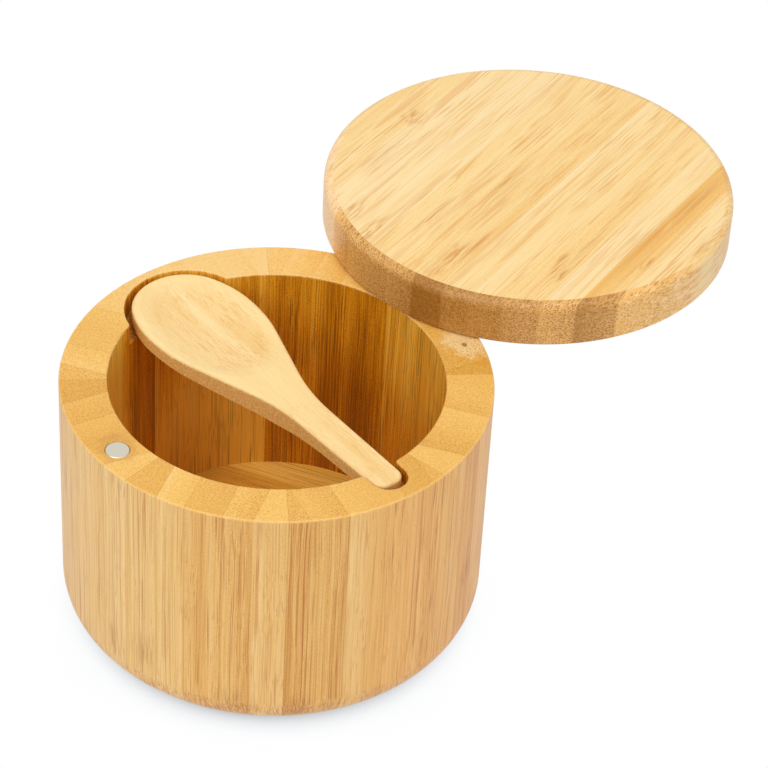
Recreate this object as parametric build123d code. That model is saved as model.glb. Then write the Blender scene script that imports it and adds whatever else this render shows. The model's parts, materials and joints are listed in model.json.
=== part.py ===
"""Round bamboo salt box: a barrel of eight glued staves, a swivel lid and a small spoon.

Millimetres, +Z up. The origin is the centre of the foot. The lid's pivot stands at the back
(+Y), the closing magnets at the front (-Y), and the spoon lies across from side to side (X),
with its bowl at -X. The lid is built closed and then swung open about its pivot.
"""

import os
from math import cos, radians, sin, sqrt, tan

from build123d import *

# Box
box_diameter = 90.0
box_height = 59.0
wall_thickness = 10.0
foot_round = 9.5
foot_flat = 0.5  # least width of the flat left under the wall
rim_edge_round = 0.4
stave_count = 8
stave_phase = -11.5  # degrees from +X to the middle of the first stave

# Base
base_thickness = 6.0
glue_gap = 0.05

# Lid
lid_thickness = 10.5
lid_top_round = 2.0
lid_under_round = 0.5
lid_gap = 0.3
lid_open_angle = -162.0

# Pivot pin
pin_diameter = 4.0
pin_depth_in_rim = 12.0
pin_cover_in_lid = 3.0  # lid left whole above the pin
pin_running_gap = 0.05
pin_press_gap = 0.01
pin_end_chamfer = 0.4

# Magnets
magnet_diameter = 5.0
magnet_thickness = 3.0
magnet_hole_gap = 0.1
magnet_edge_chamfer = 0.15

# Spoon outline: corners of its tangent polygon, as distances from the tip and half widths
spoon_tip_inset = 2.8  # from the box's outer face
spoon_tip_half_width = 7.6
spoon_tip_round = 11.4
bowl_front_from_tip = 11.7
bowl_front_round = 24.0
bowl_back_from_tip = 23.4
bowl_back_round = 36.0
bowl_half_width = 12.7
neck_from_tip = 49.5
neck_half_width = 4.0
neck_round = 45.0
handle_end_inset = 5.4  # from the box's outer face
handle_end_half_width = 3.5
handle_end_round = 2.6

# Spoon thicknesses and place
spoon_thickness = 5.0
bowl_edge_thickness = 3.3
keel_rise_length = 17.2  # the underside rises over this length towards the tip
handle_thickness = 3.2
handle_taper_from_tip = 44.2
handle_taper_length = 22.0
spoon_top_edge_round = 0.8
spoon_line_y = -1.0  # the spoon's line passes this far from the box's middle
spoon_skew = 0.2  # degrees
spoon_below_rim = 0.4

# Dish in the spoon's bowl
dish_edge_land = 1.2
dish_end_from_tip = 38.8
dish_depth = 1.7

# Pockets in the rim that hold the spoon
bowl_pocket_side_gap = 0.7
bowl_pocket_end_gap = 0.65
bowl_pocket_sideways = -0.45  # off the spoon's line, so the bowl lies nearer its back edge
bowl_pocket_corner_round = 1.5
handle_pocket_side_gap = 0.45
handle_pocket_end_gap = 2.1
handle_pocket_sideways = 0.2  # off the spoon's line, so the handle lies nearer its front edge
handle_pocket_corner_round = 0.9
pocket_floor_gap = 0.1

# Sizes that follow
box_radius = box_diameter / 2
cavity_radius = box_radius - wall_thickness
wall_middle_radius = (box_radius + cavity_radius) / 2
pin_radius = pin_diameter / 2
magnet_radius = magnet_diameter / 2
lid_under_z = box_height + lid_gap
lid_top_z = lid_under_z + lid_thickness
pin_bottom_z = box_height - pin_depth_in_rim
pin_top_z = lid_top_z - pin_cover_in_lid
spoon_top_z = box_height - spoon_below_rim
spoon_tip_x = spoon_tip_inset - box_radius
handle_end_x = box_radius - handle_end_inset
keel_straight_from_x = spoon_tip_x + keel_rise_length
handle_taper_start_x = spoon_tip_x + handle_taper_from_tip
handle_taper_end_x = handle_taper_start_x + handle_taper_length
spoon_place = Pos(0, spoon_line_y, spoon_top_z) * Rot(0, 0, spoon_skew)
pivot_place = Pos(0, wall_middle_radius, 0)
catch_place = Pos(0, -wall_middle_radius, 0)


def cylinder(radius, bottom_z, top_z):
    """Upright cylinder between two heights."""
    height = top_z - bottom_z
    return Pos(0, 0, bottom_z) * Cylinder(radius, height, align=(Align.CENTER, Align.CENTER, Align.MIN))


def turned(points, rounds):
    """Solid turned about Z from radius and height pairs, its corners rounded in order."""
    outline = FilletPolyline(*[(r, 0, z) for r, z in points], radius=rounds, close=True)
    return revolve(make_face(outline), Axis.Z)


def arc_radius(half_chord, rise):
    """Radius of the arc that rises by so much at half_chord from its middle."""
    return (half_chord**2 + rise**2) / (2 * rise)


def arc_rise(radius, distance):
    """How far that arc has risen at a distance from its middle."""
    return radius - sqrt(radius**2 - distance**2)


def fitted_rounds(points, rounds):
    """Rounds for a closed outline's corners, shrunk only where a side is too short for them."""
    ends = [Vector(*point) for point in points]
    sides = [ends[(i + 1) % len(ends)] - ends[i] for i in range(len(ends))]
    reach = [r * tan(radians(sides[i - 1].get_angle(sides[i]) / 2)) for i, r in enumerate(rounds)]
    room = [min(1, side.length / (reach[i] + reach[(i + 1) % len(reach)])) for i, side in enumerate(sides)]
    return [r * min(room[i - 1], room[i]) for i, r in enumerate(rounds)]


# Box wall, turned as one ring, then cut for pin, magnet and spoon
foot_corner = min(foot_round, wall_thickness - foot_flat)
ring_profile = [
    (cavity_radius, 0),
    (box_radius, 0),
    (box_radius, box_height),
    (cavity_radius, box_height),
]
ring = turned(ring_profile, [0, foot_corner, rim_edge_round, 0])

ring -= pivot_place * cylinder(pin_radius + pin_running_gap, pin_bottom_z, lid_under_z)
magnet_hole_radius = magnet_radius + magnet_hole_gap
ring -= catch_place * cylinder(magnet_hole_radius, box_height - magnet_thickness, lid_under_z)

# The spoon's underside is a shallow barrel: straight along the handle, rising to the tip
keel_rise = spoon_thickness - bowl_edge_thickness
keel_cross_radius = arc_radius(bowl_half_width, keel_rise)
keel_long_radius = arc_radius(keel_rise_length, keel_rise)

# Pockets, in the spoon's own place
bowl_pocket_radius = bowl_half_width + bowl_pocket_side_gap
bowl_pocket_x = spoon_tip_x - bowl_pocket_end_gap + bowl_pocket_radius
handle_pocket_half_width = handle_end_half_width + handle_pocket_side_gap
handle_pocket_end_x = handle_end_x + handle_pocket_end_gap

pocket_mouth_x = -sqrt(cavity_radius**2 - bowl_half_width**2)
bowl_pocket_rise = arc_rise(keel_long_radius, keel_straight_from_x - pocket_mouth_x)
bowl_pocket_floor = bowl_pocket_rise - spoon_thickness - pocket_floor_gap
handle_pocket_floor = -handle_thickness - pocket_floor_gap
pocket_top = spoon_below_rim + lid_gap

bowl_pocket = cylinder(bowl_pocket_radius, bowl_pocket_floor, pocket_top)
bowl_pocket = Pos(bowl_pocket_x, bowl_pocket_sideways, 0) * bowl_pocket
slot_middle_x = handle_pocket_end_x - handle_pocket_half_width
slot_run = Pos(slot_middle_x, handle_pocket_sideways, handle_pocket_floor) * Box(
    wall_thickness,
    2 * handle_pocket_half_width,
    pocket_top - handle_pocket_floor,
    align=(Align.MAX, Align.CENTER, Align.MIN),
)
slot_end = cylinder(handle_pocket_half_width, handle_pocket_floor, pocket_top)
slot_end = Pos(slot_middle_x, handle_pocket_sideways, 0) * slot_end

for pocket, corner_round in (
    (bowl_pocket, bowl_pocket_corner_round),
    (slot_run + slot_end, handle_pocket_corner_round),
):
    before = ring.edges()
    ring -= spoon_place * pocket
    corners = [
        e
        for e in (ring.edges() - before).filter_by(Axis.Z)
        if abs((e @ 0.5 - Vector(0, 0, (e @ 0.5).Z)).length - cavity_radius) < rim_edge_round
    ]
    ring = fillet(corners, corner_round)

top_face = ring.faces().filter_by(Plane.XY).sort_by(Axis.Z)[-1]
inner_loop = max(top_face.inner_wires(), key=lambda w: w.length)
ring = fillet(inner_loop.edges(), rim_edge_round)

parts = {}

# Staves: the ring divided at its glued mitre joints
stave_angle = 360 / stave_count
for number in range(stave_count):
    middle = stave_phase + number * stave_angle
    far_corners = [
        (box_diameter * cos(radians(middle + a)), box_diameter * sin(radians(middle + a)))
        for a in (-stave_angle / 2, stave_angle / 2)
    ]
    wedge = extrude(make_face(Polyline((0, 0), *far_corners, close=True)), box_height)
    parts[f"stave_{number + 1}"] = ring & wedge

# Floor disc, glued in flush with the foot
parts["base_disc"] = cylinder(cavity_radius - glue_gap, 0, base_thickness)

# Magnets, one flush in the rim and one flush in the lid's underside
magnet = cylinder(magnet_radius, 0, magnet_thickness)
magnet = chamfer(magnet.edges().filter_by(GeomType.CIRCLE), magnet_edge_chamfer)
parts["rim_magnet"] = catch_place * Pos(0, 0, box_height - magnet_thickness) * magnet
lid_magnet = catch_place * Pos(0, 0, lid_under_z) * magnet

# Pin, fast in the lid and turning in the rim
pin = cylinder(pin_radius, pin_bottom_z, pin_top_z)
pin = chamfer(pin.edges().filter_by(GeomType.CIRCLE), pin_end_chamfer)
pin = pivot_place * pin

# Lid board
lid_profile = [
    (0, lid_under_z),
    (box_radius, lid_under_z),
    (box_radius, lid_top_z),
    (0, lid_top_z),
]
lid = turned(lid_profile, [0, lid_under_round, lid_top_round, 0])
lid -= pivot_place * cylinder(pin_radius + pin_press_gap, box_height, pin_top_z)
lid -= catch_place * cylinder(magnet_hole_radius, box_height, lid_under_z + magnet_thickness)

swing = pivot_place * Rot(0, 0, lid_open_angle) * pivot_place.inverse()
parts["lid_board"] = swing * lid
parts["lid_magnet"] = swing * lid_magnet
parts["pivot_pin"] = swing * pin

# Spoon, made with its top face at height 0
one_side = [
    (spoon_tip_x, spoon_tip_half_width, spoon_tip_round),
    (spoon_tip_x + bowl_front_from_tip, bowl_half_width, bowl_front_round),
    (spoon_tip_x + bowl_back_from_tip, bowl_half_width, bowl_back_round),
    (spoon_tip_x + neck_from_tip, neck_half_width, neck_round),
    (handle_end_x, handle_end_half_width, handle_end_round),
]
other_side = [(x, -half_width, corner_round) for x, half_width, corner_round in reversed(one_side)]
spoon_corners = [(x, y) for x, y, corner_round in one_side + other_side]
spoon_rounds = [corner_round for x, y, corner_round in one_side + other_side]
outline = FilletPolyline(*spoon_corners, radius=fitted_rounds(spoon_corners, spoon_rounds), close=True)
blank = extrude(make_face(outline), -spoon_thickness)
top = blank.faces().filter_by(Plane.XY).sort_by(Axis.Z)[-1]
blank = fillet(top.outer_wire().edges(), spoon_top_edge_round)

keel_left_x = spoon_tip_x - spoon_thickness
keel_left_rise = arc_rise(keel_long_radius, keel_straight_from_x - keel_left_x)
keel_right_x = handle_end_x + spoon_thickness
keel_axis_z = keel_cross_radius - spoon_thickness
keel_middle_x = (keel_left_x + keel_straight_from_x) / 2
keel_middle_rise = arc_rise(keel_long_radius, keel_straight_from_x - keel_middle_x)
keel_lines = [
    ThreePointArc(
        (keel_left_x, 0, keel_left_rise - spoon_thickness),
        (keel_middle_x, 0, keel_middle_rise - spoon_thickness),
        (keel_straight_from_x, 0, -spoon_thickness),
    ),
    Polyline(
        (keel_straight_from_x, 0, -spoon_thickness),
        (keel_right_x, 0, -spoon_thickness),
        (keel_right_x, 0, keel_axis_z),
        (keel_left_x, 0, keel_axis_z),
        (keel_left_x, 0, keel_left_rise - spoon_thickness),
    ),
]
keel = revolve(make_face(keel_lines), Axis((0, 0, keel_axis_z), (1, 0, 0)))

under_handle_lines = [
    Spline(
        (handle_taper_start_x, 0, -spoon_thickness),
        (handle_taper_end_x, 0, -handle_thickness),
        tangents=[(1, 0, 0), (1, 0, 0)],
    ),
    Polyline(
        (handle_taper_end_x, 0, -handle_thickness),
        (keel_right_x, 0, -handle_thickness),
        (keel_right_x, 0, -2 * spoon_thickness),
        (handle_taper_start_x, 0, -2 * spoon_thickness),
        (handle_taper_start_x, 0, -spoon_thickness),
    ),
]
under_handle = extrude(make_face(under_handle_lines), bowl_half_width, both=True)

dish_cross_radius = arc_radius(bowl_half_width - dish_edge_land, dish_depth)
dish_axis_z = dish_cross_radius - dish_depth
dish_left_x = spoon_tip_x + dish_edge_land
dish_right_x = spoon_tip_x + dish_end_from_tip
dish_middle_x = (dish_left_x + dish_right_x) / 2
dish_lines = [
    ThreePointArc((dish_left_x, 0, 0), (dish_middle_x, 0, -dish_depth), (dish_right_x, 0, 0)),
    Polyline(
        (dish_right_x, 0, 0),
        (dish_right_x, 0, dish_axis_z),
        (dish_left_x, 0, dish_axis_z),
        (dish_left_x, 0, 0),
    ),
]
dish = revolve(make_face(dish_lines), Axis((0, 0, dish_axis_z), (1, 0, 0)))

spoon = (blank & keel) - under_handle - dish
parts["spoon"] = spoon_place * spoon

os.makedirs("parts", exist_ok=True)
for name, shape in parts.items():
    export_step(shape, f"parts/{name}.step")
    box = shape.bounding_box()
    print(name, len(shape.solids()), round(shape.volume), box.min, box.max)
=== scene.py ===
"""Bamboo salt box with a swivel lid and a wooden spoon: finishes, studio and camera.

Objects stay in metres. The patterns inside the materials are drawn in millimetres.
"""

import json
import math
from types import SimpleNamespace

import bmesh
import bpy
from mathutils import Matrix, Vector


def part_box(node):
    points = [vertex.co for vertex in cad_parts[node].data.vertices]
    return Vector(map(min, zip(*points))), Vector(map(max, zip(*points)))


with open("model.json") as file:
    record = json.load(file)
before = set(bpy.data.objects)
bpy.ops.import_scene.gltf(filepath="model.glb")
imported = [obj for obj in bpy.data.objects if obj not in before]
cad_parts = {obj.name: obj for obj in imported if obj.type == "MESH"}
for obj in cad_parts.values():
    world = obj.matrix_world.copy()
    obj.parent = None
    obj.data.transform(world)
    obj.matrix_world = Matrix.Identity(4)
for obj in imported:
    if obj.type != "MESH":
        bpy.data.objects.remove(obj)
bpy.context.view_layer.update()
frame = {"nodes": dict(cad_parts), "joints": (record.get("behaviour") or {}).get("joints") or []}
nodes = frame["nodes"]

scene = bpy.context.scene
scene.view_settings.view_transform = "Standard"

MM = 1000.0  # millimetres in a metre

# ---- the box, in millimetres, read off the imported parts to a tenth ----
lid_joint = next(joint for joint in frame["joints"] if joint["name"] == "lid_swivel")
box_radius = round(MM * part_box("stave_1")[1].x, 1)
box_height = round(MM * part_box("stave_1")[1].z, 1)
spoon_top = round(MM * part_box("spoon")[1].z, 1)
pivot_from_centre = round(MM * lid_joint["pos_m"][1], 1)
wall_thickness = 10.0
cavity_radius = box_radius - wall_thickness
stave_count = 8
stave_angle = 360.0 / stave_count
first_stave_middle = -11.5  # degrees round from +X
lid_open_turn = -162.0  # degrees from closed


def linear(hex_colour):
    """Turn an sRGB hex colour into linear red, green, blue and alpha."""
    channels = [int(hex_colour[i : i + 2], 16) / 255 for i in (1, 3, 5)]
    bent = [c / 12.92 if c <= 0.04045 else ((c + 0.055) / 1.055) ** 2.4 for c in channels]
    return (*bent, 1.0)


def add(tree, kind, inputs=None, **settings):
    """Add a node with its settings; each input is given a value, a socket or a node."""
    node = tree.nodes.new(kind)
    for name, value in settings.items():
        setattr(node, name, value)
    open_sockets = [s for s in node.inputs if s.enabled]
    for key, value in (inputs or {}).items():
        if isinstance(key, int):
            socket = open_sockets[key]
        else:
            socket = next(s for s in open_sockets if s.name == key)
        if isinstance(value, bpy.types.Node):
            value = next(s for s in value.outputs if s.enabled)
        if isinstance(value, bpy.types.NodeSocket):
            tree.links.new(value, socket)
        else:
            socket.default_value = value
    return node


def set_stops(ramp_node, stops):
    """Give a colour ramp its stops, low to high, and give the node back.

    Each stop is a position and a colour, as sRGB hex or as four plain values.
    """
    ramp = ramp_node.color_ramp
    while len(ramp.elements) > 1:
        ramp.elements.remove(ramp.elements[-1])
    for number, (position, colour) in enumerate(stops):
        stop = ramp.elements.new(position) if number else ramp.elements[0]
        stop.position = position
        stop.color = linear(colour) if isinstance(colour, str) else colour
    return ramp_node


def new_material(name):
    """Make an empty node material and give back the material and its tree."""
    material = bpy.data.materials.new(name)
    material.use_nodes = True
    material.node_tree.nodes.clear()
    return material, material.node_tree


def dress(node_name, material):
    """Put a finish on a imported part."""
    part = nodes[node_name]
    part.data.materials.clear()
    part.data.materials.append(material)


# ---- oiled bamboo, in millimetres ----
# The finest real fibres are some 0.1 wide and wouldn't show, so none is drawn under 0.24.
strip_blend = 0.03  # half the width over which one strip's tone becomes the next's
glue_half = 0.16  # half a glue line's width, drawn wide enough to show
glue_weight = 0.45
golden_step = 0.381966  # gives every strip its own place in the figure
figure_length = 300.0  # the strips' places are spread over this length of grain
drift_scale = (0.12, 0.12, 0.035)  # per millimetre: fibres wander over 8 across, 29 along
drift_by = 1.0  # how far a fibre wanders
pore_scale = 3.6  # per millimetre: specks 0.3 wide
pore_depth = 0.3
hatch_width = 0.34  # dark strokes of the culm-node figure
flame_width = 0.34
flame_length = 4.0
flame_depth = 2.5
surface_fibre_width = 0.35  # the relief that shows in the gloss
surface_fibre_length = 25.0
surface_relief = 0.06
mitre_width = 0.14  # the dark hair line on each side of a joint between staves
red_fade = 16.0  # how far across a stave the redder straw takes to come in
inside_reach = 0.7  # the cavity's painted shade reaches this far into the wall
inside_fade = 0.8
skin = 1.0  # the outside's colour reaches this far into the wall
skin_fade = 0.2
foot_top = 10.0  # where the foot's round has ended
painted_shading_top = 46.0  # down to here the inside's painted light and shade keep one level
painted_shading_bottom = 8.0
rim_skin = 0.15  # the rim's own colour reaches this far down
rim_highlight_width = 0.45
arris_height = 0.5
far_highlight_from = 2.0  # where the painted highlight begins to pale the cut ends, and where they are palest
far_highlight_to = -20.0

red_tones = [
    (0.0, "#C67F33"), (0.3, "#E39F4B"), (0.5, "#F1B45F"), (0.75, "#F8C478"), (1.0, "#FED387"),
]
# Painted shade: darker, more saturated amber tones and lines for the cavity's and pockets' walls,
# where shade falls
inside_shaded_tones = [
    (0.0, "#9A5604"), (0.35, "#CC8209"), (0.6, "#EBA01B"), (0.85, "#F8B836"), (1.0, "#FEC74C"),
]
inside_shaded_line_colour = "#6E3400"
# Painted highlight along the rim's outer edge
rim_highlight_colour = "#F9CE80"
glue_colour = "#9A6426"


def lay_grain(tree, turn, shift, order, half_width, strips, seed):
    """Set out the grain's axes and the glued strips of one part, and give back their sockets.

    order names the turned axes that run across the strips, through them and along the grain.
    """
    where = add(tree, "ShaderNodeTexCoord")
    placed = add(
        tree,
        "ShaderNodeMapping",
        {
            "Vector": where.outputs["Object"],
            "Location": shift,
            "Rotation": (0, 0, turn),
            "Scale": (MM, MM, MM),
        },
    )
    turned = add(
        tree,
        "ShaderNodeMapping",
        {"Vector": where.outputs["Normal"], "Rotation": (0, 0, turn)},
        vector_type="VECTOR",
    )
    axes = add(tree, "ShaderNodeSeparateXYZ", {0: placed})
    facing = add(tree, "ShaderNodeSeparateXYZ", {0: turned})
    across, through, along = (axes.outputs[axis] for axis in order)
    # 0 on faces along the grain, 1 on cut ends
    end_facing = add(
        tree, "ShaderNodeMath", {0: facing.outputs[order[2]]}, operation="ABSOLUTE"
    )

    # Strips: red is the long tone, green the bundles' weight, blue the strip's place in the
    # figure, alpha the cut tone
    stops = []
    glue_stops = [(0.0, (0, 0, 0, 1))]
    right_edges = [strip[0] for strip in strips[1:]] + [half_width]
    for number, strip in enumerate(strips):
        edge, long_left, long_right, cut_left, cut_right, dots_left, dots_right, glue = strip
        step = (number * golden_step + seed) % 1.0
        left, right = (
            (place + half_width) / (2 * half_width)
            for place in (edge + strip_blend, right_edges[number] - strip_blend)
        )
        stops.append((left, (long_left, dots_left, step, cut_left)))
        stops.append((right, (long_right, dots_right, step, cut_right)))
        if glue > 0:
            for offset, depth in ((-glue_half, 0.0), (0.0, glue), (glue_half, 0.0)):
                position = (edge + offset + half_width) / (2 * half_width)
                glue_stops.append((position, (depth, depth, depth, 1)))
    spread = add(
        tree,
        "ShaderNodeMapRange",
        {"Value": across, "From Min": -half_width, "From Max": half_width},
    )
    strip_ramp = set_stops(add(tree, "ShaderNodeValToRGB", {0: spread}), stops)
    channels = add(tree, "ShaderNodeSeparateColor", {0: strip_ramp})
    long_tone, dot_share, strip_step = (channels.outputs[i] for i in range(3))
    glue_line = set_stops(add(tree, "ShaderNodeValToRGB", {0: spread}), glue_stops)

    # Each strip sits at its own height in the figure, and its fibres drift a little sideways
    height = add(
        tree,
        "ShaderNodeMath",
        {0: strip_step, 1: figure_length, 2: along},
        operation="MULTIPLY_ADD",
    )
    grain = add(tree, "ShaderNodeCombineXYZ", {0: across, 1: through, 2: height})
    drift_space = add(
        tree, "ShaderNodeVectorMath", {0: grain, 1: drift_scale}, operation="MULTIPLY"
    )
    drift = add(
        tree, "ShaderNodeTexNoise", {"Vector": drift_space, "Scale": 1.0, "Detail": 1.0}
    )
    drift = add(
        tree,
        "ShaderNodeVectorMath",
        {0: drift.outputs["Color"], 1: (0.5, 0.5, 0.5)},
        operation="SUBTRACT",
    )
    drift = add(
        tree, "ShaderNodeVectorMath", {0: drift, 1: (drift_by, drift_by, 0.0)}, operation="MULTIPLY"
    )
    fibres = add(tree, "ShaderNodeVectorMath", {0: grain, 1: drift}, operation="ADD")

    pore_space = add(
        tree,
        "ShaderNodeVectorMath",
        {0: placed, 1: (pore_scale, pore_scale, pore_scale)},
        operation="MULTIPLY",
    )
    pores = add(
        tree, "ShaderNodeTexNoise", {"Vector": pore_space, "Scale": 1.0, "Detail": 0.0}
    )
    pore = add(tree, "ShaderNodeMath", {0: pores.outputs[0], 1: 0.5}, operation="SUBTRACT")
    return SimpleNamespace(
        tree=tree,
        placed=placed,
        across=across,
        through=through,
        along=along,
        end_facing=end_facing,
        long_tone=long_tone,
        cut_tone=strip_ramp.outputs["Alpha"],
        dot_share=dot_share,
        glue_line=glue_line,
        fibres=fibres,
        pore=pore,
    )


def fibre_noise(wood, width, length, detail=1.0, depth=None):
    """Noise drawn out along the grain, at a real width, length and depth."""
    stretch = (1 / width, 1 / (depth or width), 1 / length)
    scaled = add(
        wood.tree, "ShaderNodeVectorMath", {0: wood.fibres, 1: stretch}, operation="MULTIPLY"
    )
    noise = add(
        wood.tree, "ShaderNodeTexNoise", {"Vector": scaled, "Scale": 1.0, "Detail": detail}
    )
    return noise.outputs[0]


def patch_reach(wood, middle, half_sizes, tilt=0.0):
    """How far out a spot lies in a patch: 0 in its middle and 1 at its edge."""
    space = add(
        wood.tree, "ShaderNodeCombineXYZ", {0: wood.across, 1: wood.through, 2: wood.along}
    )
    local = add(
        wood.tree,
        "ShaderNodeMapping",
        {
            "Vector": space,
            "Location": middle,
            "Rotation": (0.0, math.radians(tilt), 0.0),
            "Scale": half_sizes,
        },
        vector_type="TEXTURE",
    )
    reach = add(wood.tree, "ShaderNodeVectorMath", {0: local}, operation="LENGTH")
    return reach.outputs["Value"]


def streaked_tone(wood, bands):
    """The tone of a face along the grain: its strip's own, with bands, streaks and pores."""
    tree = wood.tree
    tone = wood.long_tone
    for width, length, detail, weight in bands:
        band = add(
            tree,
            "ShaderNodeMath",
            {0: fibre_noise(wood, width, length, detail), 1: 0.5},
            operation="SUBTRACT",
        )
        tone = add(
            tree, "ShaderNodeMath", {0: band, 1: weight, 2: tone}, operation="MULTIPLY_ADD"
        )
    return add(
        tree, "ShaderNodeMath", {0: wood.pore, 1: pore_depth, 2: tone}, operation="MULTIPLY_ADD"
    )


def fibre_lines(wood, lines, flame_weight):
    """Brown fibre lines and strokes in groups, and short flames where an edge turns."""
    tree = wood.tree
    dark = None
    for line in lines:
        stroke = add(
            tree,
            "ShaderNodeMapRange",
            {
                "Value": fibre_noise(wood, *line["size"]),
                "From Min": line["cut"][0],
                "From Max": line["cut"][1],
            },
            interpolation_type="SMOOTHSTEP",
        )
        group = add(
            tree,
            "ShaderNodeMapRange",
            {
                "Value": fibre_noise(wood, *line["group_size"]),
                "From Min": line["group_cut"][0],
                "From Max": line["group_cut"][1],
                "To Min": 0.15 * line["weight"],
                "To Max": line["weight"],
            },
            interpolation_type="SMOOTHSTEP",
        )
        stroke = add(tree, "ShaderNodeMath", {0: stroke, 1: group}, operation="MULTIPLY")
        if line.get("with_bundles"):
            share = add(
                tree,
                "ShaderNodeMath",
                {0: wood.dot_share, 1: 1.1, 2: 0.1},
                operation="MULTIPLY_ADD",
            )
            stroke = add(tree, "ShaderNodeMath", {0: stroke, 1: share}, operation="MULTIPLY")
        if dark is None:
            dark = stroke
        else:
            dark = add(tree, "ShaderNodeMath", {0: dark, 1: stroke}, operation="MAXIMUM")

    # A rounded edge begins to cut across the fibres, up to about 20 degrees of turn
    turning = add(
        tree,
        "ShaderNodeMapRange",
        {"Value": wood.end_facing, "From Min": 0.0, "From Max": 0.35, "To Max": flame_weight},
        interpolation_type="SMOOTHSTEP",
    )
    flame = add(
        tree,
        "ShaderNodeMapRange",
        {
            "Value": fibre_noise(wood, flame_width, flame_length, depth=flame_depth),
            "From Min": 0.5,
            "From Max": 0.62,
        },
        interpolation_type="SMOOTHSTEP",
    )
    flame = add(tree, "ShaderNodeMath", {0: flame, 1: turning}, operation="MULTIPLY")
    return add(tree, "ShaderNodeMath", {0: dark, 1: flame}, operation="MAXIMUM")


def culm_marks(wood, marks):
    """Culm-node figure: short dark hatching, or a long dark run, in soft-edged patches."""
    tree = wood.tree
    figure = None
    for across, along, tilt, half_width, half_length, depth, hatch_length in marks:
        # MM through the board makes a patch as good as endless in depth
        reach = patch_reach(wood, (across, 0.0, along), (half_width, MM, half_length), tilt)
        patch = add(
            tree,
            "ShaderNodeMapRange",
            {"Value": reach, "From Min": 1.0, "From Max": 0.15, "To Max": depth},
            interpolation_type="SMOOTHSTEP",
        )
        hatch = add(
            tree,
            "ShaderNodeMapRange",
            {
                "Value": fibre_noise(wood, hatch_width, hatch_length),
                "From Min": 0.44,
                "From Max": 0.6,
                "To Min": 0.1,
            },
            interpolation_type="SMOOTHSTEP",
        )
        drawn = add(tree, "ShaderNodeMath", {0: patch, 1: hatch}, operation="MULTIPLY")
        if figure is None:
            figure = drawn
        else:
            figure = add(tree, "ShaderNodeMath", {0: figure, 1: drawn}, operation="MAXIMUM")
    return figure


def cut_ends(wood, tones, stains, dot_colour, dot_weight, dot_gap):
    """Cut ends: fibre bundles seen as brown dots on straw; gives back colour and bundles."""
    tree = wood.tree
    dot_space = add(
        tree,
        "ShaderNodeVectorMath",
        {0: wood.fibres, 1: (1 / dot_gap, 1 / dot_gap, 0.0)},
        operation="MULTIPLY",
    )
    cells = add(
        tree,
        "ShaderNodeTexVoronoi",
        {"Vector": dot_space, "Scale": 1.0},
        voronoi_dimensions="2D",
    )
    # As shares of the gap, a dot reaches 0.16 to 0.58 out, and its core a third of that
    dot_reach = add(
        tree, "ShaderNodeMath", {0: wood.dot_share, 1: 0.42, 2: 0.16}, operation="MULTIPLY_ADD"
    )
    dot_core = add(tree, "ShaderNodeMath", {0: dot_reach, 1: 0.35}, operation="MULTIPLY")
    bundle = add(
        tree,
        "ShaderNodeMapRange",
        {"Value": cells.outputs["Distance"], "From Min": dot_reach, "From Max": dot_core},
        interpolation_type="SMOOTHSTEP",
    )
    chance = add(tree, "ShaderNodeSeparateColor", {0: cells.outputs["Color"]})
    dot_depth = add(
        tree,
        "ShaderNodeMapRange",
        {"Value": chance, "To Min": 0.25 * dot_weight, "To Max": dot_weight},
    )
    mottle = add(
        tree, "ShaderNodeMath", {0: fibre_noise(wood, 0.8, 40.0), 1: 0.5}, operation="SUBTRACT"
    )
    tone = add(
        tree, "ShaderNodeMath", {0: mottle, 1: 0.5, 2: wood.cut_tone}, operation="MULTIPLY_ADD"
    )
    tone = add(
        tree, "ShaderNodeMath", {0: wood.pore, 1: pore_depth, 2: tone}, operation="MULTIPLY_ADD"
    )
    # The palest strips have the faintest bundles
    faint = add(
        tree,
        "ShaderNodeMapRange",
        {"Value": tone, "From Min": 0.65, "From Max": 1.05, "To Min": 1.0, "To Max": 0.25},
    )
    dot_depth = add(tree, "ShaderNodeMath", {0: dot_depth, 1: faint}, operation="MULTIPLY")
    dots = add(tree, "ShaderNodeMath", {0: bundle, 1: dot_depth}, operation="MULTIPLY")
    colour = set_stops(add(tree, "ShaderNodeValToRGB", {0: tone}), tones)
    for across, through, half_across, half_through, stain_colour, depth in stains:
        reach = patch_reach(wood, (across, through, 0.0), (half_across, half_through, MM))
        ragged = add(
            tree,
            "ShaderNodeMath",
            {0: fibre_noise(wood, 2.2, 40.0), 1: 0.9, 2: reach},
            operation="MULTIPLY_ADD",
        )
        patch = add(
            tree,
            "ShaderNodeMapRange",
            {"Value": ragged, "From Min": 1.65, "From Max": 1.15, "To Max": depth},
            interpolation_type="SMOOTHSTEP",
        )
        colour = add(
            tree,
            "ShaderNodeMix",
            {0: patch, 1: colour, 2: linear(stain_colour)},
            data_type="RGBA",
        )
    colour = add(
        tree, "ShaderNodeMix", {0: dots, 1: colour, 2: linear(dot_colour)}, data_type="RGBA"
    )
    return colour, bundle


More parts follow.
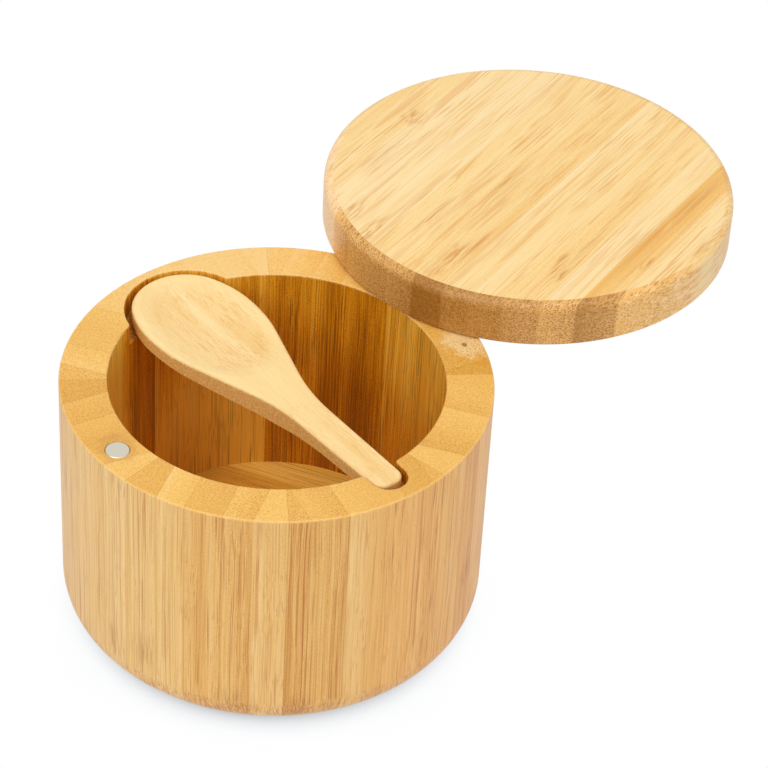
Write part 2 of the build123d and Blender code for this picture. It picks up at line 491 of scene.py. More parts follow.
def painted_inside_shade_and_rim_highlight(wood, colour, tone, dark, inside):
    """Painted shade in a darker, more saturated amber on the cavity's wall and the spoon's pockets,
    and a painted highlight along the rim's outer edge.
    """
    tree = wood.tree
    level = add(
        tree, "ShaderNodeVectorMath", {0: wood.placed, 1: (1.0, 1.0, 0.0)}, operation="MULTIPLY"
    )
    radius = add(tree, "ShaderNodeVectorMath", {0: level}, operation="LENGTH").outputs["Value"]
    near_cavity = add(
        tree,
        "ShaderNodeMapRange",
        {
            "Value": radius,
            "From Min": cavity_radius + inside_reach + inside_fade,
            "From Max": cavity_radius + inside_reach,
        },
    )
    # The pockets' walls lie deeper than the wall's skin, above the foot's round; they get the
    # painted shade too
    under_skin = add(
        tree,
        "ShaderNodeMapRange",
        {
            "Value": radius,
            "From Min": box_radius - skin + skin_fade,
            "From Max": box_radius - skin - skin_fade,
        },
    )
    above_foot = add(
        tree,
        "ShaderNodeMapRange",
        {"Value": wood.along, "From Min": foot_top, "From Max": foot_top + 1.0},
    )
    in_pocket = add(
        tree, "ShaderNodeMath", {0: under_skin, 1: above_foot}, operation="MULTIPLY"
    )
    inside_shade_mask = add(
        tree, "ShaderNodeMath", {0: near_cavity, 1: in_pocket}, operation="MAXIMUM"
    )
    under_rim = add(
        tree,
        "ShaderNodeMapRange",
        {
            "Value": wood.along,
            "From Min": box_height - rim_skin,
            "From Max": box_height - arris_height,
        },
    )
    inside_shade_mask = add(
        tree, "ShaderNodeMath", {0: inside_shade_mask, 1: under_rim}, operation="MULTIPLY"
    )
    # Painted light and shade: the streaks stand out more than outside, and each stave's inside is
    # painted lighter or darker, changing towards the floor
    painted_shading = add(
        tree,
        "ShaderNodeMapRange",
        {
            "Value": wood.along,
            "From Min": painted_shading_top,
            "From Max": painted_shading_bottom,
            "To Min": inside["painted_shading_high"],
            "To Max": inside["painted_shading_high"] + inside["painted_shading_low"],
        },
        interpolation_type="SMOOTHSTEP",
    )
    inside_tone = add(
        tree, "ShaderNodeMath", {0: tone, 1: 1.6, 2: painted_shading}, operation="MULTIPLY_ADD"
    )
    amber = set_stops(add(tree, "ShaderNodeValToRGB", {0: inside_tone}), inside_shaded_tones)
    amber = add(
        tree,
        "ShaderNodeMix",
        {0: dark, 1: amber, 2: linear(inside_shaded_line_colour)},
        data_type="RGBA",
    )
    colour = add(
        tree, "ShaderNodeMix", {0: inside_shade_mask, 1: colour, 2: amber}, data_type="RGBA"
    )

    # Painted highlight: a paler tone along the rounded edge round the outside of the rim
    painted_rim_highlight = add(
        tree,
        "ShaderNodeMapRange",
        {
            "Value": radius,
            "From Min": box_radius - rim_highlight_width,
            "From Max": box_radius - rim_highlight_width + skin_fade,
            "To Max": 0.4,
        },
    )
    at_rim = add(
        tree,
        "ShaderNodeMapRange",
        {
            "Value": wood.along,
            "From Min": box_height - arris_height,
            "From Max": box_height - arris_height + skin_fade,
        },
    )
    painted_rim_highlight = add(tree, "ShaderNodeMath", {0: painted_rim_highlight, 1: at_rim}, operation="MULTIPLY")
    return add(
        tree, "ShaderNodeMix", {0: painted_rim_highlight, 1: colour, 2: linear(rim_highlight_colour)}, data_type="RGBA"
    )


def glued_joints(wood, mitred):
    """Dark glue lines between strips, and a hair-thin one where a stave meets the next."""
    tree = wood.tree
    glue = add(
        tree, "ShaderNodeMath", {0: wood.glue_line, 1: glue_weight}, operation="MULTIPLY"
    )
    if not mitred:
        return glue
    half_angle = math.radians(stave_angle / 2)
    side = add(tree, "ShaderNodeMath", {0: wood.across}, operation="ABSOLUTE")
    side = add(
        tree, "ShaderNodeMath", {0: side, 1: -math.cos(half_angle)}, operation="MULTIPLY"
    )
    inset = add(
        tree,
        "ShaderNodeMath",
        {0: wood.through, 1: math.sin(half_angle), 2: side},
        operation="MULTIPLY_ADD",
    )
    joint = add(
        tree,
        "ShaderNodeMapRange",
        {
            "Value": inset,
            "From Min": mitre_width,
            "From Max": 0.0,
            "To Min": 0.0,
            "To Max": 0.3,
        },
        interpolation_type="SMOOTHSTEP",
    )
    return add(tree, "ShaderNodeMath", {0: glue, 1: joint}, operation="MAXIMUM")


def bamboo(
    name,
    turn,
    order,
    half_width,
    strips,
    long_tones,
    cut_tones,
    bands,
    lines,
    seed,
    shift=(0.0, 0.0, 0.0),
    line_colour="#B05A08",
    marks=(),
    mark_colour="#A05408",
    flame_weight=0.55,
    stains=(),
    dot_colour="#B86400",
    dot_weight=0.62,
    dot_gap=0.45,
    end_from=0.45,
    end_to=0.8,
    far_end_highlight_weight=1.0,
    red_from=None,
    inside=None,
    mitred=False,
):
    """Laminated bamboo, planed, sanded and oiled: a satin face of thin brown fibre lines
    on straw, cut ends dotted with fibre bundles, and strips that differ in tone.

    end_from and end_to are how far a face has to turn to the grain to show cut ends, as the
    sine of the angle. far_end_highlight_weight is what is left of the cut ends' look at the far
    side, which is painted paler there as a highlight.
    """
    material, tree = new_material(name)
    wood = lay_grain(tree, turn, shift, order, half_width, strips, seed)

    tone = streaked_tone(wood, bands)
    straw = set_stops(add(tree, "ShaderNodeValToRGB", {0: tone}), long_tones)
    if red_from is not None:
        # Towards the heart of the culm the straw turns redder
        red_straw = set_stops(add(tree, "ShaderNodeValToRGB", {0: tone}), red_tones)
        redness = add(
            tree,
            "ShaderNodeMapRange",
            {"Value": wood.across, "From Min": red_from, "From Max": red_from + red_fade},
        )
        straw = add(
            tree, "ShaderNodeMix", {0: redness, 1: straw, 2: red_straw}, data_type="RGBA"
        )
    dark = fibre_lines(wood, lines, flame_weight)
    long_colour = add(
        tree, "ShaderNodeMix", {0: dark, 1: straw, 2: linear(line_colour)}, data_type="RGBA"
    )
    inside_dark = dark
    if marks:
        figure = culm_marks(wood, marks)
        long_colour = add(
            tree,
            "ShaderNodeMix",
            {0: figure, 1: long_colour, 2: linear(mark_colour)},
            data_type="RGBA",
        )
        if inside:
            inside_dark = add(
                tree, "ShaderNodeMath", {0: dark, 1: figure}, operation="MAXIMUM"
            )

    end_colour, bundle = cut_ends(wood, cut_tones, stains, dot_colour, dot_weight, dot_gap)
    end_grain = add(
        tree,
        "ShaderNodeMapRange",
        {"Value": wood.end_facing, "From Min": end_from, "From Max": end_to},
        interpolation_type="SMOOTHSTEP",
    )
    if far_end_highlight_weight < 1.0:
        # Painted highlight: the strips' far ends are painted as pale as their faces
        far_highlight = add(
            tree,
            "ShaderNodeMapRange",
            {
                "Value": wood.along,
                "From Min": far_highlight_from,
                "From Max": far_highlight_to,
                "To Min": 1.0,
                "To Max": far_end_highlight_weight,
            },
        )
        end_grain = add(
            tree, "ShaderNodeMath", {0: end_grain, 1: far_highlight}, operation="MULTIPLY"
        )
    colour = add(
        tree, "ShaderNodeMix", {0: end_grain, 1: long_colour, 2: end_colour}, data_type="RGBA"
    )
    # Painted shade inside the cavity and the pockets, and a painted highlight on the rim's outer
    # edge
    if inside:
        colour = painted_inside_shade_and_rim_highlight(wood, colour, tone, inside_dark, inside)
    glue = glued_joints(wood, mitred)
    colour = add(
        tree, "ShaderNodeMix", {0: glue, 1: colour, 2: linear(glue_colour)}, data_type="RGBA"
    )

    # Satin oil, a little drier on fibre lines; bundles and lines sit a few hundredths low
    surface = fibre_noise(wood, surface_fibre_width, surface_fibre_length, detail=2.0)
    rough = add(
        tree,
        "ShaderNodeMapRange",
        {"Value": surface, "From Min": 0.2, "From Max": 0.8, "To Min": 0.34, "To Max": 0.5},
    )
    relief = add(
        tree, "ShaderNodeMath", {0: bundle, 1: -0.5, 2: surface}, operation="MULTIPLY_ADD"
    )
    relief = add(
        tree, "ShaderNodeMath", {0: dark, 1: -0.5, 2: relief}, operation="MULTIPLY_ADD"
    )
    bump = add(
        tree,
        "ShaderNodeBump",
        {"Height": relief, "Strength": 0.35, "Distance": surface_relief / MM},
    )
    shader = add(
        tree,
        "ShaderNodeBsdfPrincipled",
        {"Base Color": colour, "Roughness": rough, "IOR": 1.48, "Normal": bump},
    )
    add(tree, "ShaderNodeOutputMaterial", {"Surface": shader})
    return material


# ---- box wall: eight staves, each of five or six glued strips ----
# (left edge, long tone left and right, cut tone left and right, dots left and right, glue line)
stave_strips = {
    1: [
        (-23.9, 0.30, 0.34, 0.30, 0.45, 0.95, 0.75, 0.0),
        (-12.9, 0.44, 0.42, 0.55, 0.33, 0.35, 0.80, 0.5),
        (-5.4, 0.62, 0.60, 0.62, 0.50, 0.30, 0.50, 0.4),
        (1.3, 0.52, 0.54, 0.45, 0.40, 0.40, 0.30, 0.0),
        (7.0, 0.62, 0.56, 0.25, 0.12, 0.35, 0.60, 0.2),
        (14.3, 0.52, 0.54, 0.32, 0.42, 0.50, 0.40, 0.0),
    ],
    2: [
        (-23.9, 0.56, 0.58, 0.60, 0.64, 0.45, 0.30, 0.0),
        (-10.0, 0.40, 0.42, 0.18, 0.45, 0.80, 0.40, 0.3),
        (-3.4, 0.50, 0.52, 0.55, 0.70, 0.50, 0.30, 0.0),
        (3.3, 0.50, 0.52, 0.36, 0.62, 0.60, 0.40, 0.3),
        (9.9, 0.52, 0.50, 0.60, 0.45, 0.50, 0.30, 0.0),
    ],
    3: [
        (-23.9, 0.50, 0.52, 0.25, 0.02, 0.60, 0.80, 0.0),
        (-12.2, 0.60, 0.74, 0.25, 0.30, 0.80, 0.70, 0.2),
        (-4.0, 0.56, 0.62, 0.40, 0.50, 0.50, 0.40, 0.0),
        (1.5, 0.60, 0.66, 0.45, 0.60, 0.60, 0.40, 0.3),
        (8.2, 0.64, 0.42, 0.40, 0.55, 0.50, 0.50, 0.0),
    ],
    4: [
        (-23.9, 0.40, 0.38, 0.50, 0.60, 0.50, 0.40, 0.0),
        (-8.7, 0.32, 0.42, 0.70, 0.85, 0.40, 0.40, 0.2),
        (-2.1, 0.34, 0.46, 0.65, 0.85, 0.60, 0.40, 0.0),
        (4.5, 0.48, 0.42, 0.70, 0.90, 0.50, 0.40, 0.3),
        (11.0, 0.42, 0.44, 0.80, 0.95, 0.50, 0.50, 0.0),
    ],
    5: [
        (-23.9, 0.60, 0.64, 1.00, 1.00, 0.30, 0.20, 0.0),
        (-11.5, 0.48, 0.60, 0.90, 1.00, 0.50, 0.30, 0.1),
        (-4.9, 0.58, 0.66, 0.95, 1.00, 0.40, 0.30, 0.0),
        (1.8, 0.58, 0.60, 0.92, 1.00, 0.50, 0.40, 0.0),
        (8.4, 0.48, 0.40, 0.95, 0.85, 0.50, 0.50, 0.4),
    ],
    6: [
        (-23.9, 0.42, 0.40, 0.95, 0.90, 0.60, 0.50, 0.0),
        (-14.7, 0.14, 0.22, 0.88, 0.80, 0.60, 0.40, 0.5),
        (-8.0, 0.20, 0.46, 0.72, 0.50, 0.50, 0.30, 0.5),
        (-1.4, 0.74, 0.76, 0.58, 0.54, 0.60, 0.40, 0.0),
        (5.2, 0.56, 0.62, 0.70, 0.82, 0.60, 0.40, 0.5),
        (11.9, 0.46, 0.50, 0.60, 0.38, 0.90, 0.60, 0.7),
    ],
    7: [
        (-23.9, 0.50, 0.50, 0.38, 0.10, 0.70, 0.80, 0.0),
        (-9.7, 0.52, 0.54, 0.50, 0.26, 0.50, 0.70, 0.4),
        (-2.6, 0.56, 0.56, 0.52, 0.24, 0.40, 0.60, 0.0),
        (4.2, 0.56, 0.60, 0.26, 0.50, 0.50, 0.40, 0.3),
        (11.0, 0.68, 0.66, 0.78, 0.60, 0.40, 0.40, 0.8),
    ],
    8: [
        (-23.9, 0.66, 0.60, 0.42, 0.34, 0.35, 0.60, 0.0),
        (-9.7, 0.68, 0.58, 0.88, 0.60, 0.30, 0.40, 0.5),
        (-3.45, 0.45, 0.43, 0.46, 0.34, 0.60, 0.60, 0.5),
        (4.4, 0.46, 0.40, 0.74, 0.42, 0.60, 0.90, 0.5),
        (10.6, 0.58, 0.55, 0.70, 0.80, 0.30, 0.30, 0.2),
    ],
}
# (across, along, tilt, half width, half length, depth, length of the hatching)
stave_marks = {
    1: [
        (-14.0, 7.0, 0.0, 4.0, 7.0, 0.40, 8.0),
        (3.0, 5.0, 0.0, 3.0, 5.0, 0.40, 6.0),
    ],
    2: [
        (-5.5, 24.0, 8.0, 4.5, 6.0, 0.40, 3.0),
        (2.0, 8.0, 0.0, 5.0, 6.0, 0.40, 4.0),
    ],
    4: [
        (-7.0, 30.0, 0.0, 5.5, 34.0, 0.40, 50.0),
        (1.0, 46.0, 0.0, 1.4, 14.0, 0.40, 30.0),
    ],
    5: [
        (-3.0, 16.0, 6.0, 5.0, 9.0, 0.40, 5.0),
    ],
    6: [
        (-6.7, 35.0, 0.0, 3.0, 40.0, 0.50, 60.0),
    ],
    7: [
        (13.5, 13.0, 0.0, 3.0, 6.0, 0.35, 7.0),
    ],
    8: [
        (-12.5, 16.0, 6.0, 5.0, 8.0, 0.38, 7.0),
        (-3.0, 31.0, 0.0, 2.0, 4.0, 0.25, 4.0),
        (7.5, 8.0, 0.0, 6.0, 7.0, 0.42, 8.0),
    ],
}
# Stains and pale patches: (across, through, half across, half through, colour, depth)
stave_stains = {
    3: [(-5.2, 42.4, 5.6, 6.0, "#F7DBA0", 0.75), (-6.1, 40.6, 0.6, 0.5, "#8A5A20", 0.8)],
    7: [(7.6, 39.0, 4.6, 4.0, "#C48A3C", 0.35)],
}
wall_long_tones = [
    (0.0, "#C28439"), (0.3, "#E0A654"), (0.5, "#EDBC6C"), (0.75, "#F4CC87"), (1.0, "#FADB97"),
]
wall_cut_tones = [
    (0.0, "#DDA33E"), (0.25, "#E5AC4D"), (0.5, "#ECB657"), (0.75, "#F3C062"), (1.0, "#F6CC80"),
]
# Where the redder straw begins across a stave
red_from = {1: -7.0, 2: -40.0, 3: -40.0}
# Painted light and shade inside each stave: how much lighter or darker it is painted, and what that
# gains down at the floor
painted_shading_high = {1: -0.65, 3: -0.09, 4: -0.19, 5: -0.18, 6: 0.04}
painted_shading_low = {3: -0.34, 4: -0.25, 5: 0.74, 6: 0.05}
plain_painted_shading_high = -0.18
plain_painted_shading_low = -0.1
# Bands and streaks: (width, length, detail, weight)
wall_bands = [(4.0, 90.0, 1.0, 0.3), (0.8, 110.0, 2.0, 0.42), (0.24, 50.0, 2.0, 0.75)]
# Fibre lines: width and length, and the noise levels between which a line comes in
wall_lines = [
    {
        "size": (0.24, 150.0),
        "cut": (0.53, 0.66),
        "group_size": (2.8, 120.0),
        "group_cut": (0.42, 0.57),
        "weight": 0.85,
        "with_bundles": True,
    },
    {
        "size": (0.28, 34.0),
        "cut": (0.54, 0.68),
        "group_size": (3.4, 34.0),
        "group_cut": (0.44, 0.62),
        "weight": 0.6,
    },
    {
        "size": (0.26, 4.0),
        "cut": (0.56, 0.68),
        "group_size": (4.0, 10.0),
        "group_cut": (0.52, 0.66),
        "weight": 0.35,
    },
]

for number in range(1, stave_count + 1):
    stave_middle = first_stave_middle + stave_angle * (number - 1)
    dress(
        f"stave_{number}",
        bamboo(
            f"oiled bamboo stave {number}",
            turn=math.radians(-stave_middle),
            order="YXZ",
            half_width=24.0,
            strips=stave_strips[number],
            long_tones=wall_long_tones,
            cut_tones=wall_cut_tones,
            bands=wall_bands,
            lines=wall_lines,
            seed=number * 0.137,
            marks=stave_marks.get(number, ()),
            stains=stave_stains.get(number, ()),
            red_from=red_from.get(number),
            inside={
                "painted_shading_high": painted_shading_high.get(number, plain_painted_shading_high),
                "painted_shading_low": painted_shading_low.get(number, plain_painted_shading_low),
            },
            mitred=True,
        ),
    )

# ---- floor disc: twelve strips in five repeating tones ----
floor_grain_turn = 60.5  # degrees
floor_strip_width = 6.6
floor_first_edge = -39.9
floor_left_tones = (0.4, 0.56, 0.36, 0.5, 0.6)
floor_right_tones = (0.5, 0.6, 0.46, 0.56, 0.66)
floor_strips = [
    (
        floor_first_edge + floor_strip_width * number,
        floor_left_tones[number % 5],
        floor_right_tones[number % 5],
        0.5,
        0.5,
        0.6,
        0.4,
        0.5 * (number % 2),
    )
    for number in range(12)
]
dress(
    "base_disc",
    bamboo(
        "oiled bamboo floor",
        turn=math.radians(floor_grain_turn),
        order="XZY",
        half_width=40.0,
        strips=floor_strips,
        long_tones=[(0.0, "#BE7C14"), (0.5, "#F6BC48"), (1.0, "#FCDE80")],
        cut_tones=wall_cut_tones,
        bands=wall_bands,
        lines=wall_lines,
        seed=0.4,
        line_colour="#A8641E",
    ),
)

# ---- lid: one board of fifteen strips, drawn as it lies when closed ----
lid_close_turn = math.radians(-lid_open_turn)
pivot = Vector((0.0, pivot_from_centre, 0.0))
lid_shift = pivot - Matrix.Rotation(lid_close_turn, 3, "Z") @ pivot
lid_strips = [
    (-47.9, 0.56, 0.56, 0.95, 0.90, 0.90, 0.60, 0.0),
    (-43.4, 0.56, 0.56, 0.86, 0.82, 0.90, 0.60, 0.0),
    (-37.4, 0.42, 0.14, 0.46, 0.12, 0.90, 0.70, 0.0),
    (-31.2, 0.52, 0.72, 0.54, 0.58, 0.90, 0.50, 0.0),
    (-25.2, 0.46, 0.44, 0.42, 0.30, 0.90, 0.60, 0.0),
    (-18.5, 0.48, 0.58, 0.24, 0.22, 0.90, 0.60, 0.0),
    (-11.8, 0.52, 0.62, 0.20, 0.20, 0.90, 0.60, 0.0),
    (-5.7, 0.44, 0.46, 0.02, 0.00, 0.90, 0.80, 0.0),
    (1.4, 0.42, 0.50, 0.28, 0.50, 0.90, 0.60, 0.0),
    (8.0, 0.48, 0.52, 0.48, 0.54, 0.90, 0.60, 0.0),
    (14.4, 0.62, 0.66, 0.56, 0.58, 0.90, 0.60, 0.0),
    (20.8, 0.64, 0.68, 0.44, 0.84, 0.90, 0.50, 0.0),
    # These three strips' cut ends sit at the top of the cut ramp: partly their own pale tone,
    # partly a painted sheen on that end of the lid's edge
    (27.2, 0.62, 0.58, 1.00, 1.00, 0.80, 0.40, 0.0),
    (33.6, 0.54, 0.48, 1.00, 1.00, 0.60, 0.40, 0.0),
    (40.0, 0.50, 0.48, 1.00, 1.00, 0.50, 0.40, 0.0),
]
lid_marks = [
    (-1.4, 33.0, 0.0, 3.4, 8.0, 0.75, 5.0),
    (-3.4, 28.0, 0.0, 1.2, 12.0, 0.70, 12.0),
    (-1.0, 40.0, 6.0, 3.4, 4.0, 0.50, 4.0),
    (-23.4, 26.0, 0.0, 1.5, 5.0, 0.80, 5.0),
    (-21.2, 22.0, -9.0, 1.6, 9.0, 0.70, 5.0),
    (-22.8, 12.0, 0.0, 1.0, 12.0, 0.50, 16.0),
    (9.8, 24.0, 0.0, 1.3, 11.0, 0.80, 9.0),
    (17.4, 36.0, -4.0, 2.4, 8.0, 0.70, 4.0),
    (24.3, 32.0, -5.0, 3.0, 7.0, 0.75, 6.0),
    (33.6, -5.0, 0.0, 4.2, 5.0, 0.70, 3.0),
    (30.6, 7.0, 0.0, 1.6, 17.0, 0.50, 14.0),
    (-33.0, -8.0, 3.0, 3.0, 38.0, 0.55, 40.0),
    (-36.0, 11.0, 0.0, 1.2, 4.0, 0.80, 3.0),
    (-43.0, -4.0, 0.0, 2.2, 12.0, 0.60, 5.0),
    (3.4, 4.0, 0.0, 1.6, 16.0, 0.60, 12.0),
]
lid_lines = [
    {
        "size": (1.1, 22.0),
        "cut": (0.50, 0.66),
        "group_size": (4.5, 40.0),
        "group_cut": (0.40, 0.58),
        "weight": 0.42,
    },
    {
        "size": (0.36, 14.0),
        "cut": (0.52, 0.66),
        "group_size": (3.0, 26.0),
        "group_cut": (0.44, 0.60),
        "weight": 0.6,
    },
    {
        "size": (0.26, 60.0),
        "cut": (0.52, 0.66),
        "group_size": (4.0, 60.0),
        "group_cut": (0.40, 0.60),
        "weight": 0.4,
    },
]
dress(
    "lid_board",
    bamboo(
        "oiled bamboo lid",
        turn=lid_close_turn,
        shift=tuple(lid_shift),
        order="XZY",
        half_width=48.0,
        strips=lid_strips,
        long_tones=[
            (0.0, "#E9B04E"),
            (0.25, "#F0BC66"),
            (0.5, "#F9D792"),
            (0.75, "#FBDFA9"),
            (1.0, "#FDE7BE"),
        ],
        cut_tones=[
            (0.0, "#AC772D"),
            (0.25, "#C8934A"),
            (0.5, "#DEAA5F"),
            (0.75, "#F2BB69"),
            (0.88, "#F5C274"),
            # The palest cut tone: partly pale end grain, partly a painted sheen
            (1.0, "#FFD9A4"),
        ],
        bands=[(3.0, 60.0, 1.0, 0.3), (0.9, 60.0, 2.0, 0.25)],
        lines=lid_lines,
        seed=0.71,
        line_colour="#DE9A42",
        marks=lid_marks,
        mark_colour="#CE8630",
        flame_weight=0.3,
        dot_colour="#9A5200",
        dot_weight=0.95,
        dot_gap=0.42,
        end_from=0.03,
        end_to=0.1,
        # a painted highlight on the lid's far cut ends leaves little of their look
        far_end_highlight_weight=0.12,
    ),
)

# ---- spoon: bare sanded pale wood ----
# Its patterns, in millimetres: (along the spoon, across it, through it)
fleck_size = (4.0, 0.32, 0.32)
fleck_group_size = (9.0, 5.0, 5.0)
slow_size = (40.0, 4.0, 4.0)
speckle_size = (0.5, 0.3, 0.3)


def spoon_wood():
    """Bare beech, sanded: creamy and matt, with short flecks; its sawn sides are browner."""
    material, tree = new_material("bare beech spoon")
    where = add(tree, "ShaderNodeTexCoord")
    placed = add(
        tree, "ShaderNodeMapping", {"Vector": where.outputs["Object"], "Scale": (MM, MM, MM)}
    )
    patterns = []
    for size in (fleck_size, fleck_group_size, slow_size, speckle_size):
        stretch = tuple(1 / length for length in size)
        scaled = add(
            tree, "ShaderNodeVectorMath", {0: placed, 1: stretch}, operation="MULTIPLY"
        )
        noise = add(
            tree, "ShaderNodeTexNoise", {"Vector": scaled, "Scale": 1.0, "Detail": 1.0}
        )
        patterns.append(noise.outputs[0])
    flecks, fleck_groups, slow, speckle = patterns

    grain = add(tree, "ShaderNodeMath", {0: speckle, 1: 0.5, 2: slow}, operation="MULTIPLY_ADD")
    colour = set_stops(
        add(tree, "ShaderNodeValToRGB", {0: grain}),
        [(0.45, "#EFC47C"), (0.75, "#F7D392"), (1.0, "#FCE0A6")],
    )
    fleck = add(
        tree,
        "ShaderNodeMapRange",
        {"Value": flecks, "From Min": 0.48, "From Max": 0.66},
        interpolation_type="SMOOTHSTEP",
    )
    fleck_depth = add(
        tree,
        "ShaderNodeMapRange",
        {
            "Value": fleck_groups,
            "From Min": 0.35,
            "From Max": 0.6,
            "To Min": 0.15,
            "To Max": 0.42,
        },
        interpolation_type="SMOOTHSTEP",
    )
    fleck = add(tree, "ShaderNodeMath", {0: fleck, 1: fleck_depth}, operation="MULTIPLY")
    colour = add(
        tree, "ShaderNodeMix", {0: fleck, 1: colour, 2: linear("#DFA04A")}, data_type="RGBA"
    )

    # Painted light and shade: the rim of the hollow and the neck are painted paler than the hollow,
    # the handle less, so the hollow reads a shade darker
    axes = add(tree, "ShaderNodeSeparateXYZ", {0: placed})
    top_light_paint_depth = add(
        tree,
        "ShaderNodeMapRange",
        {
            "Value": axes.outputs["X"],
            "From Min": 2.0,
            "From Max": 26.0,
            "To Min": 0.6,
            "To Max": 0.1,
        },
    )
    painted_light_top = add(
        tree,
        "ShaderNodeMapRange",
        {
            "Value": axes.outputs["Z"],
            "From Min": spoon_top - 0.8,
            "From Max": spoon_top - 0.1,
        },
        interpolation_type="SMOOTHSTEP",
    )
    painted_light_top = add(tree, "ShaderNodeMath", {0: painted_light_top, 1: top_light_paint_depth}, operation="MULTIPLY")
    colour = add(
        tree, "ShaderNodeMix", {0: painted_light_top, 1: colour, 2: linear("#FADD9C")}, data_type="RGBA"
    )

    # Sawn sides: browner, speckled end fibres
    side_colour = set_stops(
        add(tree, "ShaderNodeValToRGB", {0: speckle}),
        [(0.3, "#DDA456"), (0.5, "#EFBC6A"), (0.7, "#F8CC84")],
    )
    normal = add(tree, "ShaderNodeSeparateXYZ", {0: where.outputs["Normal"]})
    side = add(
        tree,
        "ShaderNodeMapRange",
        {"Value": normal.outputs["Z"], "From Min": 0.55, "From Max": 0.25},
        interpolation_type="SMOOTHSTEP",
    )
    colour = add(
        tree, "ShaderNodeMix", {0: side, 1: colour, 2: side_colour}, data_type="RGBA"
    )
    bump = add(
        tree, "ShaderNodeBump", {"Height": flecks, "Strength": 0.3, "Distance": 0.05 / MM}
    )
    shader = add(
        tree,
        "ShaderNodeBsdfPrincipled",
        {"Base Color": colour, "Roughness": 0.6, "IOR": 1.45, "Normal": bump},
    )
    add(tree, "ShaderNodeOutputMaterial", {"Surface": shader})
    return material


dress("spoon", spoon_wood())


# ---- magnets and pin ----
def fine_metal(name, hex_colour, roughness, scratch_width):
    """Satin metal with faint wear: cool grey, with hair scratches five times as long as wide."""
    material, tree = new_material(name)
    where = add(tree, "ShaderNodeTexCoord")
    placed = add(
        tree, "ShaderNodeMapping", {"Vector": where.outputs["Object"], "Scale": (MM, MM, MM)}
    )
    stretched = add(
        tree,
        "ShaderNodeVectorMath",
        {0: placed, 1: (1 / scratch_width, 0.2 / scratch_width, 1 / scratch_width)},
        operation="MULTIPLY",
    )
    scratches = add(
        tree, "ShaderNodeTexNoise", {"Vector": stretched, "Scale": 1.0, "Detail": 3.0}
    )
    rough = add(
        tree,
        "ShaderNodeMapRange",
        {"Value": scratches, "To Min": roughness - 0.08, "To Max": roughness + 0.1},
    )
    bump = add(
        tree, "ShaderNodeBump", {"Height": scratches, "Strength": 0.2, "Distance": 0.02 / MM}
    )
    shader = add(
        tree,
        "ShaderNodeBsdfPrincipled",
        {"Base Color": linear(hex_colour), "Metallic": 1.0, "Roughness": rough, "Normal": bump},
    )
    add(tree, "ShaderNodeOutputMaterial", {"Surface": shader})
    return material


nickel = fine_metal("nickel plate", "#D4CEBD", roughness=0.38, scratch_width=0.3)
dress("rim_magnet", nickel)
dress("lid_magnet", nickel)
dress("pivot_pin", fine_metal("turned steel", "#BDBDBA", roughness=0.3, scratch_width=0.2))

# ---- studio: a white card under the box, two soft lamps and a pale dome ----
floor_mesh = bpy.data.meshes.new("floor")
sheet = bmesh.new()
bmesh.ops.create_grid(sheet, x_segments=1, y_segments=1, size=3.0)
sheet.to_mesh(floor_mesh)
sheet.free()
floor = bpy.data.objects.new("floor", floor_mesh)
scene.collection.objects.link(floor)

# White card: its own white as the camera and reflections see it, greyed where the box
# and lid close off the sky; plain pale card to the light that it sends back up.
card, card_tree = new_material("white studio card")
ray = add(card_tree, "ShaderNodeLightPath")
seen = add(
    card_tree,
    "ShaderNodeMath",
    {0: ray.outputs["Is Camera Ray"], 1: ray.outputs["Is Glossy Ray"]},
    operation="MAXIMUM",
)
seen = add(
    card_tree,
    "ShaderNodeMath",
    {0: seen, 1: ray.outputs["Is Transmission Ray"]},
    operation="MAXIMUM",
)
open_sky = add(card_tree, "ShaderNodeAmbientOcclusion", {"Distance": 0.05}, samples=8)
shade = set_stops(
    add(card_tree, "ShaderNodeValToRGB", {0: open_sky.outputs["AO"]}),
    [
        (0.15, (0.48, 0.49, 0.51, 1)),
        (0.24, (0.72, 0.73, 0.75, 1)),
        (0.31, (0.82, 0.83, 0.84, 1)),
        (0.48, (0.95, 0.955, 0.96, 1)),
        (0.58, (1, 1, 1, 1)),
    ],
)
seen_card = add(card_tree, "ShaderNodeEmission", {"Color": shade, "Strength": 1.0})
plain_card = add(card_tree, "ShaderNodeBsdfDiffuse", {"Color": (0.85, 0.85, 0.85, 1.0)})
card_surface = add(card_tree, "ShaderNodeMixShader", {0: seen, 1: plain_card, 2: seen_card})
add(card_tree, "ShaderNodeOutputMaterial", {"Surface": card_surface})
floor.data.materials.append(card)

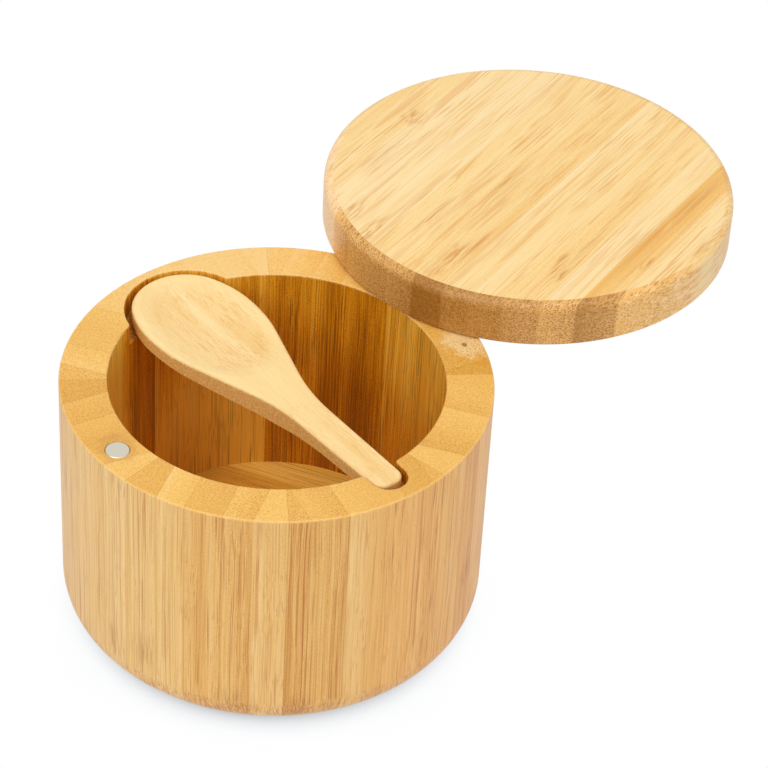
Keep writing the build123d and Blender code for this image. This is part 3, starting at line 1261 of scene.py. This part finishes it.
# (name, degrees round from +X, degrees up, metres away, metres wide, watts)
lamps = (
    ("front soft lamp", -70.0, 42.0, 1.2, 0.6, 3.2),
    ("overhead soft lamp", 0.0, 74.0, 1.2, 0.5, 3.9),
)
for lamp_name, degrees_round, degrees_up, distance, width, watts in lamps:
    lamp_data = bpy.data.lights.new(lamp_name, "AREA")
    lamp_data.shape = "DISK"
    lamp_data.size = width
    lamp_data.energy = watts
    lamp = bpy.data.objects.new(lamp_name, lamp_data)
    azimuth = math.radians(degrees_round)
    height_angle = math.radians(degrees_up)
    lamp_place = distance * Vector(
        (
            math.cos(azimuth) * math.cos(height_angle),
            math.sin(azimuth) * math.cos(height_angle),
            math.sin(height_angle),
        )
    )
    lamp_turn = lamp_place.to_track_quat("Z", "Y").to_matrix().to_4x4()
    lamp.matrix_world = Matrix.Translation(lamp_place) @ lamp_turn
    scene.collection.objects.link(lamp)

# The dome lights a little more from overhead, and shows itself as plain white
dome = bpy.data.worlds.new("studio")
scene.world = dome
dome.use_nodes = True
dome_tree = dome.node_tree
dome_tree.nodes.clear()
sky = add(dome_tree, "ShaderNodeTexCoord")
sky_axes = add(dome_tree, "ShaderNodeSeparateXYZ", {0: sky.outputs["Generated"]})
sky_light = add(
    dome_tree,
    "ShaderNodeMapRange",
    {
        "Value": sky_axes.outputs["Z"],
        "From Min": 0.0,
        "From Max": 1.0,
        "To Min": 0.52,
        "To Max": 0.7,
    },
)
sky_ray = add(dome_tree, "ShaderNodeLightPath")
sky_seen = add(
    dome_tree,
    "ShaderNodeMath",
    {0: sky_ray.outputs["Is Camera Ray"], 1: sky_ray.outputs["Is Glossy Ray"]},
    operation="MAXIMUM",
)
sky_seen = add(
    dome_tree,
    "ShaderNodeMath",
    {0: sky_seen, 1: sky_ray.outputs["Is Transmission Ray"]},
    operation="MAXIMUM",
)
sky_strength = add(
    dome_tree, "ShaderNodeMix", {0: sky_seen, 1: sky_light, 2: 1.0}, data_type="FLOAT"
)
sky_glow = add(
    dome_tree, "ShaderNodeBackground", {"Color": (1, 1, 1, 1), "Strength": sky_strength}
)
add(dome_tree, "ShaderNodeOutputWorld", {"Surface": sky_glow})

# ---- camera, in front of the box, towards the spoon's handle ----
camera_place = Vector((0.39723, -0.31060, 0.46859))
camera_turn = math.radians(49.467)
camera_down = math.radians(39.127)
camera_roll = math.radians(3.329)
camera_data = bpy.data.cameras.new("camera")
camera_data.sensor_width = 36.0
camera_data.lens = 147.38
camera = bpy.data.objects.new("camera", camera_data)
camera.matrix_world = (
    Matrix.Translation(camera_place)
    @ Matrix.Rotation(camera_turn, 4, "Z")
    @ Matrix.Rotation(math.radians(90.0) - camera_down, 4, "X")
    @ Matrix.Rotation(camera_roll, 4, "Z")
)
scene.collection.objects.link(camera)
scene.camera = camera
